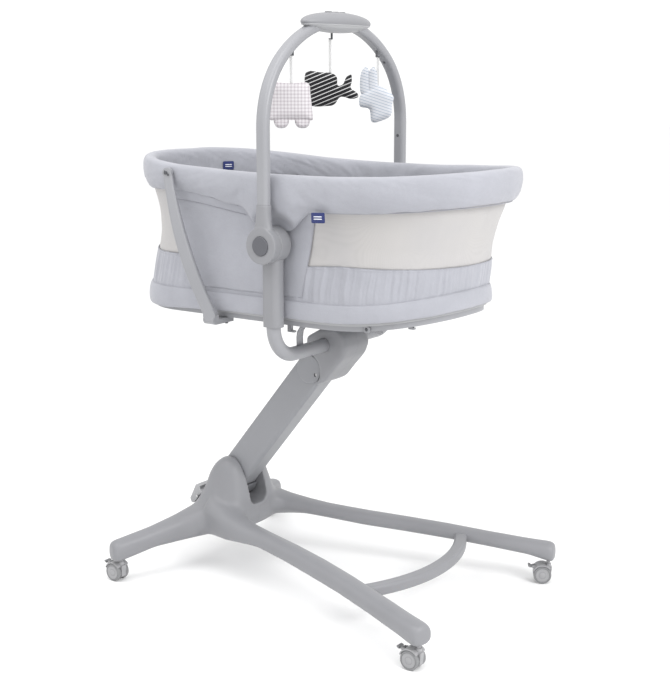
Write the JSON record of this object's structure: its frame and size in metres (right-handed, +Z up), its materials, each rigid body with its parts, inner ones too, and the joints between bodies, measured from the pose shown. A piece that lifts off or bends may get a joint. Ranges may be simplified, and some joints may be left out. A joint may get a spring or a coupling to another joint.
{
  "type": "bassinet on stand",
  "caption": "Fabric bassinet on a rolling stand: bowed legs on casters, swinging height post, tilting tub and a folding toy arch.",
  "frame": {"origin": "on the floor, at the middle of the stand's bounding box", "axes": "+X along the tub towards its foot end, -Y the near side with the label, +Z up"},
  "size_m": [0.9307, 0.6558, 1.359],
  "materials": {
    "shell_grey": "fine moulded texture, satin",
    "post_grey": "satin powder coat",
    "tube_grey": "satin powder coat",
    "pale_plastic": "satin",
    "dark_plastic": "matt",
    "button_grey": "satin",
    "tread_grey": "soft tread",
    "steel": "zinc plated",
    "fabric_grey": "plain weave",
    "mesh_cream": "knitted mesh",
    "mattress_white": "quilted cover",
    "toy_check": "printed check",
    "toy_black": "printed stripe",
    "toy_stripe": "printed stripe"
  },
  "bodies": {
    "base": {"base_shell_near": "shell_grey", "base_shell_far": "shell_grey", "hub_core": "steel", "hub_pins": "steel", "cross_bar": "shell_grey", "pedal_axle": "steel"},
    "pedal": {"foot_pedal": "pale_plastic"},
    "post": {"post_shell": "post_grey", "slot_cover": "dark_plastic", "post_caps": "post_grey", "cap_screws": "steel"},
    "link": {"link_rod": "steel"},
    "carrier": {"knuckle_shell_near": "shell_grey", "knuckle_shell_far": "shell_grey", "knuckle_core": "steel", "knuckle_pins": "steel", "fork_tube": "tube_grey", "fork_sleeves": "shell_grey", "tilt_pins": "steel", "loop_brackets": "tube_grey"},
    "tub": {"tray": "pale_plastic", "tray_frame": "tube_grey", "tray_hooks": "shell_grey", "mattress": "mattress_white", "lower_band": "fabric_grey", "mesh_wall": "mesh_cream", "side_panel_near": "fabric_grey", "side_panel_far": "fabric_grey", "side_struts": "steel", "rim_frame": "steel", "rim_cover": "fabric_grey", "stays": "tube_grey", "stay_fasteners": "dark_plastic"},
    "arch": {"arch_feet": "shell_grey", "arch_tube": "tube_grey", "console_upper": "shell_grey", "console_lower": "pale_plastic", "toy_hooks": "dark_plastic"},
    "release_near": {"release_button_near": "button_grey"},
    "release_far": {"release_button_far": "button_grey"},
    "key_1": {"console_key_1": "button_grey"},
    "key_2": {"console_key_2": "button_grey"},
    "key_3": {"console_key_3": "button_grey"},
    "toy_left": {"toy_left": "toy_check"},
    "toy_middle": {"toy_middle": "toy_black"},
    "toy_right": {"toy_right": "toy_stripe"},
    "caster_front_near": {"caster_fork_front_near": "tread_grey"},
    "wheels_front_near": {"caster_wheels_front_near": "tread_grey"},
    "brake_front_near": {"caster_brake_front_near": "tread_grey"},
    "caster_front_far": {"caster_fork_front_far": "tread_grey"},
    "wheels_front_far": {"caster_wheels_front_far": "tread_grey"},
    "brake_front_far": {"caster_brake_front_far": "tread_grey"},
    "caster_rear_near": {"caster_fork_rear_near": "tread_grey"},
    "wheels_rear_near": {"caster_wheels_rear_near": "tread_grey"},
    "brake_rear_near": {"caster_brake_rear_near": "tread_grey"},
    "caster_rear_far": {"caster_fork_rear_far": "tread_grey"},
    "wheels_rear_far": {"caster_wheels_rear_far": "tread_grey"},
    "brake_rear_far": {"caster_brake_rear_far": "tread_grey"}
  },
  "joints": [
    {"name": "post_swing", "type": "hinge", "parent": "base", "child": "post", "pos_m": [-0.298, 0, 0.212], "axis": [0, 1, 0], "range_deg": [0, 45]},
    {"name": "link_swing", "type": "hinge", "parent": "base", "child": "link", "pos_m": [-0.298, 0, 0.192], "axis": [0, 1, 0], "range_deg": [0, 45]},
    {"name": "carrier_level", "type": "hinge", "parent": "post", "child": "carrier", "pos_m": [-0.034, 0, 0.535], "axis": [0, 1, 0], "range_deg": [-45, 0]},
    {"name": "tub_tilt", "type": "hinge", "parent": "carrier", "child": "tub", "pos_m": [0.02, 0, 0.858], "axis": [0, 1, 0], "range_deg": [0, 12]},
    {"name": "arch_fold", "type": "hinge", "parent": "carrier", "child": "arch", "pos_m": [0.02, 0, 0.858], "axis": [0, 1, 0], "range_deg": [-40, 40]},
    {"name": "release_press_near", "type": "slide", "parent": "arch", "child": "release_near", "axis": [0, 1, 0], "range_m": [0, 0.003], "stiffness_N_per_m": 400},
    {"name": "release_press_far", "type": "slide", "parent": "arch", "child": "release_far", "axis": [0, -1, 0], "range_m": [0, 0.003], "stiffness_N_per_m": 400},
    {"name": "pedal_press", "type": "hinge", "parent": "base", "child": "pedal", "pos_m": [-0.362, 0, 0.168], "axis": [0, -1, 0], "range_deg": [0, 12], "stiffness_Nm_per_rad": 6},
    {"name": "key_press_1", "type": "slide", "parent": "arch", "child": "key_1", "axis": [0, 0, -1], "range_m": [0, 0.0015], "stiffness_N_per_m": 300},
    {"name": "key_press_2", "type": "slide", "parent": "arch", "child": "key_2", "axis": [0, 0, -1], "range_m": [0, 0.0015], "stiffness_N_per_m": 300},
    {"name": "key_press_3", "type": "slide", "parent": "arch", "child": "key_3", "axis": [0, 0, -1], "range_m": [0, 0.0015], "stiffness_N_per_m": 300},
    {"name": "toy_swing_left", "type": "hinge", "parent": "arch", "child": "toy_left", "pos_m": [0.02, -0.17, 1.262], "axis": [0, 1, 0], "range_deg": [-25, 25]},
    {"name": "toy_swing_middle", "type": "hinge", "parent": "arch", "child": "toy_middle", "pos_m": [0.002, 0, 1.3], "axis": [0, 1, 0], "range_deg": [-25, 25]},
    {"name": "toy_swing_right", "type": "hinge", "parent": "arch", "child": "toy_right", "pos_m": [0.02, 0.17, 1.262], "axis": [0, 1, 0], "range_deg": [-25, 25]},
    {"name": "swivel_front_near", "type": "hinge", "parent": "base", "child": "caster_front_near", "pos_m": [0.444, -0.3, 0.05], "axis": [0, 0, 1], "continuous": true},
    {"name": "roll_front_near", "type": "hinge", "parent": "caster_front_near", "child": "wheels_front_near", "pos_m": [0.43, -0.3, 0.022], "axis": [0, 1, 0], "continuous": true},
    {"name": "brake_press_front_near", "type": "hinge", "parent": "caster_front_near", "child": "brake_front_near", "pos_m": [0.406, -0.3, 0.039], "axis": [0, -1, 0], "range_deg": [0, 12]},
    {"name": "swivel_front_far", "type": "hinge", "parent": "base", "child": "caster_front_far", "pos_m": [0.444, 0.3, 0.05], "axis": [0, 0, 1], "continuous": true},
    {"name": "roll_front_far", "type": "hinge", "parent": "caster_front_far", "child": "wheels_front_far", "pos_m": [0.43188, 0.293, 0.022], "axis": [-0.5, 0.866, 0], "continuous": true},
    {"name": "brake_press_front_far", "type": "hinge", "parent": "caster_front_far", "child": "brake_front_far", "pos_m": [0.41109, 0.281, 0.039], "axis": [0.5, -0.866, 0], "range_deg": [0, 12]},
    {"name": "swivel_rear_near", "type": "hinge", "parent": "base", "child": "caster_rear_near", "pos_m": [-0.416, -0.3, 0.05], "axis": [0, 0, 1], "continuous": true},
    {"name": "roll_rear_near", "type": "hinge", "parent": "caster_rear_near", "child": "wheels_rear_near", "pos_m": [-0.43, -0.3, 0.022], "axis": [0, 1, 0], "continuous": true},
    {"name": "brake_press_rear_near", "type": "hinge", "parent": "caster_rear_near", "child": "brake_rear_near", "pos_m": [-0.454, -0.3, 0.039], "axis": [0, -1, 0], "range_deg": [0, 12]},
    {"name": "swivel_rear_far", "type": "hinge", "parent": "base", "child": "caster_rear_far", "pos_m": [-0.416, 0.3, 0.05], "axis": [0, 0, 1], "continuous": true},
    {"name": "roll_rear_far", "type": "hinge", "parent": "caster_rear_far", "child": "wheels_rear_far", "pos_m": [-0.42952, 0.29638, 0.022], "axis": [-0.2588, 0.9659, 0], "continuous": true},
    {"name": "brake_press_rear_far", "type": "hinge", "parent": "caster_rear_far", "child": "brake_rear_far", "pos_m": [-0.45271, 0.29017, 0.039], "axis": [0.2588, -0.9659, 0], "range_deg": [0, 12]}
  ],
  "couplings": [
    {"joint": "link_swing", "follows": "post_swing", "ratio": 1},
    {"joint": "carrier_level", "follows": "post_swing", "ratio": -1}
  ]
}
